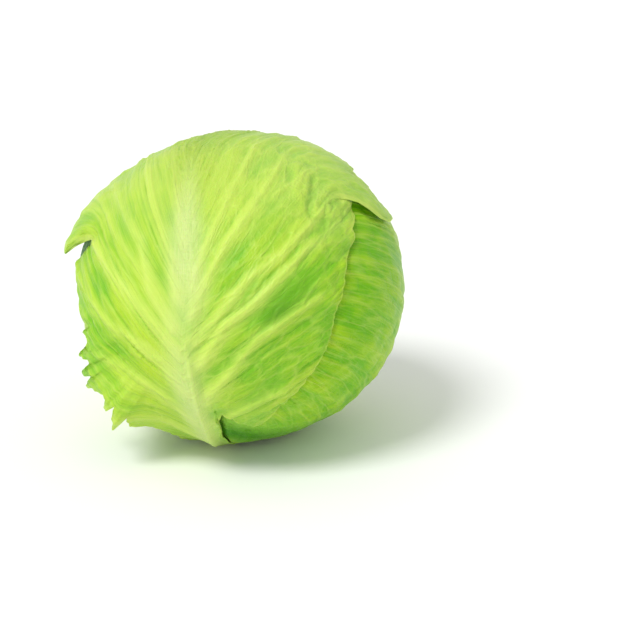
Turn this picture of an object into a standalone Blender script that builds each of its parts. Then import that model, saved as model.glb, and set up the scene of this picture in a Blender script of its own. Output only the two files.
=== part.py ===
"""Model a head of iceberg lettuce at its real size, in metres, with +Z up.

The head stands on the cut face of its stem. The origin is the centre of that face, and the
outermost leaf, with its broad midrib, faces -Y. Each leaf is a cupped sheet that wraps round
the leaves inside it and ends at the stem. Angles on a leaf are measured from its own middle,
with the base at -90 degrees and the tip at 90 degrees.
"""

import math
from dataclasses import dataclass

import bmesh
import bpy
import numpy as np
from mathutils import Vector

MM = 0.001

# The closed head, measured from its centre
HEAD_CENTRE = Vector((0.0, 0.0, 74.0 * MM))
HALF_WIDTH = 80.5 * MM
HALF_DEPTH = 79.0 * MM
HALF_HEIGHT = 76.5 * MM
RIGHT_SWELL = 1.0 * MM

# Room between two pieces, and under the lowest leaf
GAP = 0.3 * MM

# The stem is a cone that narrows from its cut face up into the heart
STEM_PROFILE = (
    (16.6 * MM, 0.0),
    (17.6 * MM, 1.2 * MM),
    (16.8 * MM, 9.0 * MM),
    (13.4 * MM, 22.0 * MM),
    (8.6 * MM, 38.0 * MM),
    (5.4 * MM, 50.0 * MM),
    (3.6 * MM, 62.5 * MM),
)
STEM_TOP = 64.0 * MM
STEM_SIDES = 24

# The leaves, from the outside in
WRAPPER_COUNT = 7
WRAPPER_SPACING = 3.0 * MM
HEAD_LEAF_COUNT = 8
HEAD_LEAF_START = 22.0 * MM
HEAD_LEAF_SPACING = 4.0 * MM
HEART_LEAF_COUNT = 3
HEART_LEAF_START = 53.5 * MM
HEART_LEAF_SPACING = 3.8 * MM
FIRST_LEAF_TURN = -14.0
LEAF_TURN = 137.5

BLADE_THICKNESS = 1.2 * MM
RIB_HEIGHT = 0.8 * MM
FRONT_RIB_HEIGHT = 3.4 * MM
RIB_HALF_ANGLE = math.radians(7.0)

FRONT_LEAF_CELLS = 28
SIDE_LEAF_CELLS = 18
WRAPPER_CELLS = 14
HEAD_LEAF_CELLS = 10
HEART_LEAF_CELLS = 8

BUD_RADIUS = 9.0 * MM
BUD_HEIGHT = 18.0 * MM
BUD_SIDES = 12

# Angle round the leaf and reach from its middle, both in degrees
FRONT_OUTLINE = (
    (-90, 96),
    (-98, 88),
    (-107, 67),
    (-117, 57),
    (-126, 54),
    (-144, 56),
    (-160, 52),
    (-172, 54),
    (-182, 63),
    (-188, 68),
    (-193, 71),
    (-200, 73),
    (-212, 78),
    (-220, 85),
    (-235, 96),
    (-255, 106),
    (-270, 109),
    (-290, 106),
    (-302, 98),
    (-316, 94),
    (-330, 92),
    (-334, 78),
    (-338, 60),
    (-345, 54),
    (-355, 51),
    (-370, 48),
    (-400, 46),
    (-419, 49),
    (-427, 49),
    (-434, 44),
    (-440, 52),
    (-445, 78),
)
SIDE_OUTLINE = (
    (-90, 83),
    (-104, 84),
    (-114, 100),
    (-126, 108),
    (-140, 106),
    (-158, 98),
    (-180, 94),
    (-225, 94),
    (-270, 98),
    (-315, 92),
    (-360, 88),
    (-390, 83),
    (-415, 76),
    (-435, 77),
)
BROAD_OUTLINE = (
    (-90, 83),
    (-105, 77),
    (-125, 76),
    (-150, 82),
    (-180, 87),
    (-225, 93),
    (-270, 98),
    (-315, 92),
    (-360, 88),
    (-390, 83),
    (-415, 76),
    (-435, 77),
)

# Angle round the front leaf and how far its edge stands off the head, in millimetres
FRONT_LIFT = (
    (-90, 0.0),
    (-106, 1.5),
    (-117, 6.0),
    (-124, 13.0),
    (-130, 13.5),
    (-140, 11.0),
    (-148, 10.5),
    (-156, 6.5),
    (-167, 2.0),
    (-176, 0.5),
    (-186, 1.5),
    (-192, 7.0),
    (-200, 6.5),
    (-210, 4.0),
    (-222, 0.5),
    (-300, 0.5),
    (-318, 2.5),
    (-332, 2.5),
    (-344, 0.5),
    (-400, 0.5),
    (-420, 1.5),
    (-436, 0.5),
    (-446, 0.0),
)
LIFT_START = 0.58

# How each leaf's sheet is laid out: the broad outline inside, the true one at the edge
BROAD_SPAN = 32
BROAD_STEP = 8
EDGE_CURVE = 3.0
CORNER_TURN = math.radians(40.0)

OUTER_GREEN = (0.33, 0.56, 0.10)
HEART_YELLOW = (0.74, 0.80, 0.32)
STEM_CREAM = (0.80, 0.87, 0.60)


@dataclass
class Leaf:
    """One leaf: where it sits round and inside the head, and how far it reaches."""

    name: str
    turn: float
    tilt: float
    depth: float
    cells: int
    outline: tuple
    lift: tuple = ()
    scale: float = 1.0
    rib_height: float = RIB_HEIGHT


def clear_objects():
    """Remove every object, so that the scene holds only the lettuce."""
    for old in list(bpy.data.objects):
        bpy.data.objects.remove(old, do_unlink=True)


def make_material(name, colour, roughness):
    """Make the plain finish of one piece."""
    finish = bpy.data.materials.new(name)
    finish.use_nodes = True
    shader = finish.node_tree.nodes["Principled BSDF"]
    shader.inputs["Base Color"].default_value = (*colour, 1.0)
    shader.inputs["Roughness"].default_value = roughness
    shader.inputs["Metallic"].default_value = 0.0
    return finish


def add_object(name, shape, finish):
    """Turn a finished bmesh into a named object with its material."""
    mesh = bpy.data.meshes.new(name)
    shape.to_mesh(mesh)
    shape.free()
    mesh.shade_smooth()
    mesh.materials.append(finish)
    piece = bpy.data.objects.new(name, mesh)
    bpy.context.scene.collection.objects.link(piece)
    return piece


def turned_shape(profile, top, sides):
    """Spin a profile of radius and height pairs, running upward, into a closed solid."""
    shape = bmesh.new()
    bottom = shape.verts.new((0.0, 0.0, profile[0][1]))
    rows = [shape.verts.new((radius, 0.0, height)) for radius, height in profile]
    tip = shape.verts.new((0.0, 0.0, top))
    chain = [bottom, *rows, tip]
    edges = [shape.edges.new(pair) for pair in zip(chain, chain[1:])]
    bmesh.ops.spin(
        shape,
        geom=chain + edges,
        cent=(0.0, 0.0, 0.0),
        axis=(0.0, 0.0, 1.0),
        angle=math.tau,
        steps=sides,
        use_merge=True,
    )
    bmesh.ops.remove_doubles(shape, verts=shape.verts, dist=0.01 * MM)
    bmesh.ops.recalc_face_normals(shape, faces=shape.faces)
    return shape


def head_point(direction, depth, lift):
    """Give the point of the layer at this depth, where a ray from the head's centre meets it."""
    spread = Vector((direction.x / HALF_WIDTH, direction.y / HALF_DEPTH, direction.z / HALF_HEIGHT))
    radius = 1.0 / spread.length
    radius += RIGHT_SWELL * max(direction.x, 0.0) ** 2
    point = HEAD_CENTRE + direction * (radius - depth + lift)
    point.z = max(point.z, GAP + depth)
    return point


def leaf_axes(leaf):
    """Give the directions of the leaf's middle, of its right side and of its tip."""
    turn = math.radians(leaf.turn)
    tilt = math.radians(leaf.tilt)
    middle = Vector((math.sin(turn) * math.cos(tilt), -math.cos(turn) * math.cos(tilt), math.sin(tilt)))
    tip = Vector((0.0, 0.0, 1.0))
    tip = (tip - middle * middle.z).normalized()
    return middle, tip.cross(middle), tip


def around(pairs, angle):
    """Read a value given at some angles round a leaf, at any angle in degrees."""
    angles = [pair[0] for pair in pairs]
    values = [pair[1] for pair in pairs]
    return float(np.interp(angle, angles, values, period=360.0))


def broad_outline(pairs, angle):
    """Read an outline evened out over a span of angles to each side."""
    near = [around(pairs, angle + shift) for shift in range(-BROAD_SPAN, BROAD_SPAN + 1, BROAD_STEP)]
    return sum(near) / len(near)


def disc_place(u, v):
    """Turn a place on a square from -1 to 1 into a radius and a heading on a disc of radius 1."""
    x = u * math.sqrt(1.0 - 0.5 * v * v)
    y = v * math.sqrt(1.0 - 0.5 * u * u)
    return math.hypot(x, y), math.atan2(y, x) + CORNER_TURN


def rib_rise(leaf, across, along):
    """Give how far the midrib stands out of the leaf, highest at its base."""
    ridge = math.exp(-((across / RIB_HALF_ANGLE) ** 2))
    fade = min(max(0.5 - along / math.radians(160.0), 0.0), 1.0)
    return leaf.rib_height * ridge * fade


def leaf_object(leaf, stem_room, finish):
    """Make one leaf: a grid cupped round the head, thickened inward and trimmed at the stem."""
    middle, right, tip = leaf_axes(leaf)
    shape = bmesh.new()
    bmesh.ops.create_grid(shape, x_segments=leaf.cells, y_segments=leaf.cells, size=1.0)
    rises = []
    for vertex in shape.verts:
        edge_share, heading = disc_place(vertex.co.x, vertex.co.y)
        angle = math.degrees(heading)
        broad_reach = math.radians(broad_outline(leaf.outline, angle)) * leaf.scale
        reach = math.radians(around(leaf.outline, angle)) * leaf.scale
        arc = edge_share * broad_reach + (reach - broad_reach) * edge_share ** EDGE_CURVE
        across = arc * math.cos(heading)
        along = arc * math.sin(heading)
        side = right * math.cos(heading) + tip * math.sin(heading)
        direction = middle * math.cos(arc) + side * math.sin(arc)
        rise = rib_rise(leaf, across, along)
        lift = rise
        if leaf.lift:
            edge_near = min(max((edge_share - LIFT_START) / (1.0 - LIFT_START), 0.0), 1.0)
            lift += around(leaf.lift, angle) * MM * edge_near ** 2
        vertex.co = head_point(direction, leaf.depth, lift)
        rises.append(rise)
    bmesh.ops.recalc_face_normals(shape, faces=shape.faces)
    outward = sum((face.normal.dot(face.calc_center_median() - HEAD_CENTRE) for face in shape.faces))
    if outward < 0.0:
        bmesh.ops.reverse_faces(shape, faces=shape.faces)
    piece = add_object(leaf.name, shape, finish)

    deepest = BLADE_THICKNESS + leaf.rib_height
    rib_group = piece.vertex_groups.new(name="thickness")
    for index, rise in enumerate(rises):
        rib_group.add([index], (BLADE_THICKNESS + rise) / deepest, "REPLACE")
    wall = piece.modifiers.new("leaf_thickness", "SOLIDIFY")
    wall.thickness = deepest
    wall.offset = -1.0
    wall.vertex_group = rib_group.name
    trim = piece.modifiers.new("stem_trim", "BOOLEAN")
    trim.operation = "DIFFERENCE"
    trim.solver = "EXACT"
    trim.object = stem_room
    return piece


def stem_object():
    """Make the stem, cut flat across its butt."""
    finish = make_material("cut_stem", STEM_CREAM, 0.55)
    return add_object("stem", turned_shape(STEM_PROFILE, STEM_TOP, STEM_SIDES), finish)


def stem_room_object():
    """Make the stem-shaped cutter that leaves each leaf a gap to the stem."""
    profile = [(radius + GAP, height) for radius, height in STEM_PROFILE]
    profile[0] = (profile[0][0], -GAP)
    finish = make_material("stem_room", STEM_CREAM, 0.55)
    room = add_object("stem_room", turned_shape(profile, STEM_TOP + GAP, STEM_SIDES), finish)
    room.hide_render = True
    room.display_type = "WIRE"
    return room


def bud_object():
    """Make the heart's bud, the knot of smallest leaves on the tip of the stem."""
    shape = bmesh.new()
    bmesh.ops.create_uvsphere(shape, u_segments=BUD_SIDES, v_segments=BUD_SIDES, radius=1.0)
    centre = Vector((0.0, 0.0, STEM_TOP + 2.0 * GAP + 0.5 * BUD_HEIGHT))
    for vertex in shape.verts:
        fold = 1.0 + 0.06 * math.sin(5.0 * math.atan2(vertex.co.y, vertex.co.x))
        vertex.co.x *= BUD_RADIUS * fold
        vertex.co.y *= BUD_RADIUS * fold
        vertex.co.z *= 0.5 * BUD_HEIGHT
        vertex.co += centre
    finish = make_material("heart_bud", HEART_YELLOW, 0.5)
    return add_object("heart_bud", shape, finish)


def layer_colour(share):
    """Blend from the outer green to the yellow of the heart."""
    return tuple(outer + (inner - outer) * share for outer, inner in zip(OUTER_GREEN, HEART_YELLOW))


def plan_leaves():
    """List every leaf from the outermost in, each turned by the same angle from the last."""
    leaves = []
    for index in range(WRAPPER_COUNT):
        leaf = Leaf(
            name=f"wrapper_leaf_{index + 1}",
            turn=FIRST_LEAF_TURN + index * LEAF_TURN,
            tilt=-2.0,
            depth=index * WRAPPER_SPACING,
            cells=WRAPPER_CELLS,
            outline=BROAD_OUTLINE,
        )
        if index == 0:
            leaf.tilt = 8.0
            leaf.cells = FRONT_LEAF_CELLS
            leaf.outline = FRONT_OUTLINE
            leaf.lift = FRONT_LIFT
            leaf.rib_height = FRONT_RIB_HEIGHT
        if index == 1:
            leaf.cells = SIDE_LEAF_CELLS
            leaf.outline = SIDE_OUTLINE
        leaves.append(leaf)
    for index in range(HEAD_LEAF_COUNT):
        leaves.append(
            Leaf(
                name=f"head_leaf_{index + 1}",
                turn=FIRST_LEAF_TURN + (WRAPPER_COUNT + index) * LEAF_TURN,
                tilt=-1.0,
                depth=HEAD_LEAF_START + index * HEAD_LEAF_SPACING,
                cells=HEAD_LEAF_CELLS,
                outline=BROAD_OUTLINE,
                scale=1.02,
            )
        )
    for index in range(HEART_LEAF_COUNT):
        leaves.append(
            Leaf(
                name=f"heart_leaf_{index + 1}",
                turn=FIRST_LEAF_TURN + (WRAPPER_COUNT + HEAD_LEAF_COUNT + index) * LEAF_TURN,
                tilt=0.0,
                depth=HEART_LEAF_START + index * HEART_LEAF_SPACING,
                cells=HEART_LEAF_CELLS,
                outline=BROAD_OUTLINE,
                scale=1.02,
            )
        )
    return leaves


def main():
    """Build the whole head."""
    clear_objects()
    stem_object()
    stem_room = stem_room_object()
    leaves = plan_leaves()
    for index, leaf in enumerate(leaves):
        share = index / (len(leaves) - 1)
        finish = make_material(leaf.name, layer_colour(share), 0.5)
        leaf_object(leaf, stem_room, finish)
    bud_object()


main()
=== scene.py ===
"""Dress a head of iceberg lettuce: veined wrapper leaves, folded head leaves, heart and stem.

Every leaf is one thin sheet cupped round the head's centre. A place on a leaf is an angle pair,
in degrees, measured from the leaf's middle: across to its right and along towards its tip.
"""

import logging
import math
from collections.abc import Callable
from dataclasses import dataclass
from enum import Enum
from itertools import product

import bmesh
import bpy
import numpy as np
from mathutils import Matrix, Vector


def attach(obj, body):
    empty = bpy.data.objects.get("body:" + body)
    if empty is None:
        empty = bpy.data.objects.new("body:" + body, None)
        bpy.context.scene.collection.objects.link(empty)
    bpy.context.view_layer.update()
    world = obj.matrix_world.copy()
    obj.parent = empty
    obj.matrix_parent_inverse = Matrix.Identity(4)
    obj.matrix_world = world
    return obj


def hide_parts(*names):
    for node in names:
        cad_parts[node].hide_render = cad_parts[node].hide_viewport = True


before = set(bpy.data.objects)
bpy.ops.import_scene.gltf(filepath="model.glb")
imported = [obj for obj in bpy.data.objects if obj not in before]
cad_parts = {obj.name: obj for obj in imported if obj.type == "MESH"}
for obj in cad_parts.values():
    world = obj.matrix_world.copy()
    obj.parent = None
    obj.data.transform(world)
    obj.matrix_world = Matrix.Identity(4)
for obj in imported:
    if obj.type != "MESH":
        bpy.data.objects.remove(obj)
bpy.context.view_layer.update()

Array = np.ndarray
Pairs = tuple[tuple[float, float], ...]
Triple = tuple[float, float, float]
HiddenRun = tuple[int, float, float, int]

LOG = logging.getLogger("lettuce")
BODY = "root"
MM = 0.001


def smooth_step(value: Array, low: float, high: float) -> Array:
    """Rise smoothly from 0 at low to 1 at high.

    Args:
        value: where to read the step.
        low: the value where the rise starts.
        high: the value where it ends.

    Returns:
        The step's height at each value.
    """
    share = np.clip((value - low) / (high - low), 0.0, 1.0)
    return share * share * (3.0 - 2.0 * share)


def read_pairs(pairs: Pairs, where: Array, period: float | None = None) -> Array:
    """Read a value that is given at a few places, anywhere between them.

    Args:
        pairs: places and their values.
        where: the places to read.
        period: the length after which the places repeat.

    Returns:
        The value at each place.
    """
    places, values = zip(*pairs)
    return np.interp(where, places, values, period=period)


def turn_from(start: float, angle: Array) -> Array:
    """Give the turn from a start to each angle, from -180 to 180 degrees."""
    return (angle - start + 180.0) % 360.0 - 180.0


def along_axes(length: Array, angle: Array) -> tuple[Array, Array]:
    """Turn lengths and their angles in degrees into distances across and along."""
    return length * np.cos(np.radians(angle)), length * np.sin(np.radians(angle))


def add_object(name: str, data: bpy.types.ID) -> bpy.types.Object:
    """Put something into the scene.

    Args:
        name: the object's name.
        data: its mesh, light or camera.

    Returns:
        The object.
    """
    made = bpy.data.objects.new(name, data)
    bpy.context.scene.collection.objects.link(made)
    return made


def turned_into_mesh(shape: bmesh.types.BMesh, name: str) -> bpy.types.Mesh:
    """Turn a finished shape into a mesh.

    Args:
        shape: the shape, which is freed.
        name: the mesh's name.

    Returns:
        The mesh.
    """
    mesh = bpy.data.meshes.new(name)
    shape.to_mesh(mesh)
    shape.free()
    return mesh


def reshaped_ball(name: str, sides: int, rings: int,
                  place: Callable[[Vector, float], Triple]) -> bpy.types.Object:
    """Make a smooth object from a ball.

    Args:
        name: the object's name.
        sides: how many sides the ball has.
        rings: how many rings it has from pole to pole.
        place: gives a point's new place from its old one and its angle round the ball.

    Returns:
        The object.
    """
    shape = bmesh.new()
    bmesh.ops.create_uvsphere(shape, u_segments=sides, v_segments=rings, radius=1.0)
    for vertex in shape.verts:
        vertex.co = place(vertex.co, math.atan2(vertex.co.y, vertex.co.x))
    mesh = turned_into_mesh(shape, name)
    mesh.shade_smooth()
    return add_object(name, mesh)


class SmoothNoise:
    """Smooth random values over space, from one seeded lattice."""

    LATTICE = 32
    SHIFT = (7.3, 3.1)

    def __init__(self, seed: int) -> None:
        """Fill the lattice from a seed."""
        shape = (self.LATTICE, self.LATTICE, self.LATTICE)
        self._values = np.random.default_rng(seed).uniform(-1.0, 1.0, shape)

    def at(self, x: Array, y: Array, z: Array | float) -> Array:
        """Read the noise.

        Args:
            x: places along the lattice's first axis, in cells.
            y: places along its second axis.
            z: places along its third axis.

        Returns:
            Values from -1 to 1 that change smoothly over about one cell.
        """
        points = np.stack(np.broadcast_arrays(x, y, z), axis=-1).astype(float)
        cell = np.floor(points).astype(int)
        part = points - cell
        fade = part ** 3 * (part * (part * 6.0 - 15.0) + 10.0)
        total = np.zeros(points.shape[:-1])
        for corner in product((0, 1), repeat=3):
            index = (cell + np.array(corner)) % self.LATTICE
            weight = np.prod(np.where(np.array(corner) == 1, fade, 1.0 - fade), axis=-1)
            total += weight * self._values[index[..., 0], index[..., 1], index[..., 2]]
        return total

    def layered(self, x: Array, y: Array, z: float) -> Array:
        """Add a finer copy of the noise to it, half as strong."""
        finer = self.at(x * 2.0 + self.SHIFT[0], y * 2.0 + self.SHIFT[1], z * 2.0)
        return self.at(x, y, z) + finer / 2.0


@dataclass(frozen=True)
class Head:
    """The closed head's outer form, which every leaf follows at its own depth."""

    centre: Triple = (0.0, 0.0, 0.074)
    half_sizes: Triple = (0.0805, 0.079, 0.0765)
    right_swell: float = 0.001
    lump_height: float = 0.0009
    lump_size: float = 0.034
    floor_gap: float = 0.0003

    def place(self, ways: Array, depth: Array | float, floor: float) -> Array:
        """Find the points of a layer.

        Args:
            ways: unit directions from the head's centre, one a row.
            depth: how far inside the outer form the layer lies there, negative outside it.
            floor: the lowest height that the layer reaches.

        Returns:
            Points in metres, one a row.
        """
        radius = 1.0 / np.linalg.norm(ways / np.array(self.half_sizes), axis=1)
        radius += self.right_swell * np.maximum(ways[:, 0], 0.0) ** 2
        spots = ways * radius[:, None] / self.lump_size
        radius += self.lump_height * HEAD_NOISE.at(spots[:, 0], spots[:, 1], spots[:, 2])
        points = np.array(self.centre) + ways * (radius - depth)[:, None]
        points[:, 2] = np.maximum(points[:, 2], floor)
        return points


@dataclass(frozen=True)
class StemForm:
    """The stem's turned outline, as radius and height pairs from the butt upward."""

    profile: Pairs = (
        (0.0166, 0), (0.0176, 0.0012), (0.0168, 0.009), (0.0134, 0.022), (0.0086, 0.038),
        (0.0054, 0.05), (0.0036, 0.0625),
    )
    top: float = 0.064
    gap: float = 0.0004

    def radius_at(self, height: float) -> float:
        """Give the stem's radius at a height."""
        radii, heights = zip(*self.profile)
        return float(np.interp(height, heights, radii))


HEAD_NOISE = SmoothNoise(11)
EDGE_NOISE = SmoothNoise(23)
BLADE_NOISE = SmoothNoise(37)
HEAD = Head()
STEM = StemForm()
DEGREE_SIZE = math.radians(1.0) * 0.077


@dataclass(frozen=True)
class Vein:
    """One raised vein: the places that it passes, its width in degrees and its height."""

    path: Pairs
    start_width: float = 1.5
    end_width: float = 0.8
    start_height: float = 1.0
    end_height: float = 0.4


@dataclass(frozen=True)
class Midrib:
    """The broad rib up the middle of a leaf."""

    path: Pairs = ((0, -98), (0, 80))
    height: float = 0.0020
    height_along: Pairs = ((-98, 1), (-55, 1), (-15, 0.6), (25, 0.28), (62, 0))
    width_along: Pairs = ((-98, 7), (-70, 4.6), (-35, 5.2), (0, 6), (30, 5.4), (62, 3.2))
    crest: float = 0.25
    left_foot: float = 1.5
    right_foot: float = 1.05
    roundness: float = 0.25
    paleness: Pairs = ((-98, 1), (20, 1), (62, 0))
    pale_width: float = 1.1
    pale_curve: float = 2.4


@dataclass(frozen=True)
class Cleft:
    """A tear in a leaf's edge, with one side folded over the other.

    The folded side is turned round the leaf's middle by the swing, which is negative where it
    goes clockwise, and stands off the head by the lift.
    """

    angle: float
    apex: float
    half_width: float
    swing: float
    span: float
    lift: float
    swing_curve: float
    lift_curve: float = 0.6


@dataclass(frozen=True)
class Patch:
    """An oval patch of a leaf: its middle, its heading, its half length and width, its strength."""

    across: float
    along: float
    heading: float
    length: float
    width: float
    strength: float

    def cover(self, across: Array, along: Array) -> Array:
        """Give the patch's strength at each place.

        Args:
            across: places across the leaf.
            along: places along it.

        Returns:
            The strength in the patch's middle, fading outward.
        """
        turn = math.radians(self.heading)
        off_x = across - self.across
        off_y = along - self.along
        down = (off_x * math.cos(turn) + off_y * math.sin(turn)) / self.length
        side = (off_y * math.cos(turn) - off_x * math.sin(turn)) / self.width
        return self.strength * np.exp(-(down ** 2 + side ** 2))


@dataclass(frozen=True)
class LeafPlan:
    """One leaf: where it sits, how far it reaches and how its surface is shaped."""

    node: str
    slot: str
    turn: float
    tilt: float
    depth: float
    cells: int
    outline: Pairs
    lift: Pairs = ()
    clefts: tuple[Cleft, ...] = ()
    # Patches that lighten or darken the colour: some of the leaf's own tone, most of them painted
    # light and shade.
    tones_and_painted_light: tuple[Patch, ...] = ()
    crumples: tuple[Patch, ...] = ()
    crumpling: float = 0.7
    # How pale the leaf is along its length: the base is paler in its own colour, and on the front
    # leaf the top is paler too, a painted sheen.
    paleness_and_sheen: Pairs = ((-100, 0.35), (-60, 0.12), (-30, 0), (100, 0))
    veins: tuple[Vein, ...] = ()
    midrib: Midrib = Midrib()
    seed: int = 0
    relief: float = 1.0
    ruffle: float = 0.0018
    teeth: float = 1.0
    blade: float = 0.0008
    covered_by: tuple["LeafPlan", ...] = ()


class LeafMap:
    """Turns places on one leaf into directions from the head's centre, and back."""

    def __init__(self, plan: LeafPlan) -> None:
        """Work out the leaf's own axes."""
        turn = math.radians(plan.turn)
        tilt = math.radians(plan.tilt)
        self.plan = plan
        self.middle = np.array((
            math.sin(turn) * math.cos(tilt),
            -math.cos(turn) * math.cos(tilt),
            math.sin(tilt),
        ))
        tip = np.array((0.0, 0.0, 1.0)) - self.middle * self.middle[2]
        self.tip = tip / np.linalg.norm(tip)
        self.right = np.cross(self.tip, self.middle)
        self.base = -90.0 - plan.tilt

    def ways(self, across: Array, along: Array) -> Array:
        """Turn places on the leaf into unit directions.

        Args:
            across: places across the leaf.
            along: places along it.

        Returns:
            Directions from the head's centre, one a row.
        """
        arc = np.hypot(across, along)
        safe = np.maximum(arc, 1e-9)[:, None]
        side = across[:, None] / safe * self.right + along[:, None] / safe * self.tip
        turned = np.radians(arc)[:, None]
        return np.cos(turned) * self.middle + np.sin(turned) * side

    def stem_reach(self, angle: Array) -> Array:
        """Find where the leaf meets the stem.

        Args:
            angle: angles round the leaf's middle.

        Returns:
            How far the leaf may run at each angle.
        """
        height = HEAD.floor_gap + self.plan.depth
        rise = HEAD.centre[2] - height
        clear = math.atan2(STEM.radius_at(height) + STEM.gap, rise)
        to_base = math.radians(-self.base)
        sweep = np.radians(angle + 90.0)
        level = math.cos(to_base)
        slope = math.sin(to_base) * np.cos(sweep)
        size = np.hypot(level, slope)
        ratio = np.clip(math.cos(clear) / size, -1.0, 1.0)
        meets = (size > math.cos(clear)) & (slope > 0.0)
        reach = np.degrees(np.arctan2(slope, level) - np.arccos(ratio))
        return np.where(meets, reach, 180.0)

    def reach(self, angle: Array) -> Array:
        """Give how far the outline runs at each angle, stopping at the stem."""
        outline = read_pairs(self.plan.outline, angle, period=360.0)
        return np.minimum(outline, self.stem_reach(angle))

    def even_reach(self, angle: Array, span: float) -> Array:
        """Give how far the outline runs, evened out over a span of angles to each side."""
        near = [self.reach(angle + shift) for shift in np.linspace(-span, span, 13)]
        return np.mean(near, axis=0)

    def past_edge(self, ways: Array) -> Array:
        """Give how far directions lie outside the leaf's edge, in degrees, negative inside."""
        arc = np.degrees(np.arccos(np.clip(ways @ self.middle, -1.0, 1.0)))
        return arc - self.reach(np.degrees(np.arctan2(ways @ self.tip, ways @ self.right)))


class VeinField:
    """Reads the height of the nearest veins anywhere on a leaf."""

    CHUNK = 4096

    def __init__(self, veins: tuple[Vein, ...]) -> None:
        """Cut every vein into short straight stretches."""
        rows = []
        for vein in veins:
            count = len(vein.path) - 1
            for index, (start, end) in enumerate(zip(vein.path, vein.path[1:])):
                shares = (index / count, (index + 1) / count)
                wider = vein.end_width - vein.start_width
                taller = vein.end_height - vein.start_height
                widths = [vein.start_width + wider * share for share in shares]
                heights = [vein.start_height + taller * share for share in shares]
                rows.append((*start, *end, *widths, *heights))
        self._rows = np.array(rows).reshape(-1, 8)

    def read(self, across: Array, along: Array, spread: float = 1.0) -> Array:
        """Give the height of the veins.

        Args:
            across: places across the leaf.
            along: places along it.
            spread: how many times wider than planned the veins are read.

        Returns:
            Heights from 0 between the veins to 1 on the strongest.
        """
        heights = np.zeros(len(across))
        if len(self._rows) == 0:
            return heights
        ax, ay, bx, by, wide_a, wide_b, high_a, high_b = self._rows.T
        run_x = bx - ax
        run_y = by - ay
        length = run_x ** 2 + run_y ** 2
        for first in range(0, len(across), self.CHUNK):
            part = slice(first, first + self.CHUNK)
            off_x = across[part, None] - ax
            off_y = along[part, None] - ay
            share = np.clip((off_x * run_x + off_y * run_y) / length, 0.0, 1.0)
            gap = (off_x - share * run_x) ** 2 + (off_y - share * run_y) ** 2
            width = (wide_a + (wide_b - wide_a) * share) * spread
            height = high_a + (high_b - high_a) * share
            heights[part] = np.max(height * np.exp(-gap / width ** 2), axis=1)
        return heights


def grown_path(start: tuple[float, float], heading: float, bend: float, length: float,
               steps: int) -> Pairs:
    """Grow a vein's path step by step.

    Args:
        start: the place where it leaves its parent.
        heading: its first direction, in degrees from the leaf's right.
        bend: how many degrees it turns over its length.
        length: how long it is, in degrees of the leaf.
        steps: how many straight stretches it has.

    Returns:
        The places that it passes.
    """
    places = [start]
    for step in range(steps):
        angle = math.radians(heading + bend * (step + 0.5) / steps)
        last = places[-1]
        stride = length / steps
        places.append((last[0] + stride * math.cos(angle), last[1] + stride * math.sin(angle)))
    return tuple(places)


class VeinHabit:
    """How the veins grow, in degrees of the leaf. A pair is a range that is drawn from."""

    STARTS = (-66.0, 34.0)
    FIRST_GAP = (0.0, 6.0)
    GAP = (9.0, 14.0)
    OFFSET = 2.5
    CLIMB = (30.0, 74.0)
    UNEVENNESS = (-4.0, 4.0)
    LENGTH = (58.0, 74.0)
    BEND = (-14.0, 4.0)
    WIDTHS = (1.7, 0.7)
    STRENGTH = (0.8, 1.0)
    TIP_STRENGTH = 0.25
    STEPS = 8
    TWIG_SHARES = (0.22, 0.98, 0.11)
    TWIG_TURN = (28.0, 52.0)
    TWIG_LENGTH = (7.0, 15.0)
    TWIG_BEND = -0.6
    TWIG_WIDTHS = (0.75, 0.45)
    TWIG_STRENGTHS = (0.42, 0.1)
    TWIG_STEPS = 4

    def with_twigs(self, veins: tuple[Vein, ...], seed: int) -> tuple[Vein, ...]:
        """Add the small veins that branch from each side vein.

        Args:
            veins: the side veins.
            seed: what makes this leaf's branches its own.

        Returns:
            The side veins and their branches.
        """
        draw = np.random.default_rng(seed)
        strength, tip_strength = self.TWIG_STRENGTHS
        twigs = []
        for vein in veins:
            path = np.array(vein.path)
            pieces = len(path) - 1
            side = 1.0
            for share in np.arange(*self.TWIG_SHARES):
                spot = share * pieces
                index = min(int(spot), pieces - 1)
                step = path[index + 1] - path[index]
                start = path[index] + step * (spot - index)
                heading = math.degrees(math.atan2(step[1], step[0]))
                turn = side * draw.uniform(*self.TWIG_TURN)
                length = draw.uniform(*self.TWIG_LENGTH)
                grown = grown_path(
                    tuple(start), heading + turn, self.TWIG_BEND * turn, length, self.TWIG_STEPS)
                height = strength * vein.start_height
                twigs.append(Vein(grown, *self.TWIG_WIDTHS, height, tip_strength))
                side = -side
        return veins + tuple(twigs)

    def feathered(self, seed: int) -> tuple[Vein, ...]:
        """Lay out the side veins of a leaf whose own pattern isn't given.

        Args:
            seed: what makes this leaf's pattern its own.

        Returns:
            Side veins that leave the midrib by turns, flat at the base and steep near the tip.
        """
        draw = np.random.default_rng(seed)
        lowest, highest = self.STARTS
        flat, steep = self.CLIMB
        veins = []
        for side in (-1.0, 1.0):
            along = lowest + draw.uniform(*self.FIRST_GAP)
            while along < highest:
                share = (along - lowest) / (highest - lowest)
                climb = flat + (steep - flat) * share + draw.uniform(*self.UNEVENNESS)
                heading = climb if side > 0.0 else 180.0 - climb
                length = draw.uniform(*self.LENGTH)
                bend = side * draw.uniform(*self.BEND)
                start = (side * self.OFFSET, along)
                path = grown_path(start, heading, bend, length, self.STEPS)
                strength = draw.uniform(*self.STRENGTH)
                veins.append(Vein(path, *self.WIDTHS, strength, self.TIP_STRENGTH))
                along += draw.uniform(*self.GAP)
        return self.with_twigs(tuple(veins), seed + 1)


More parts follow.
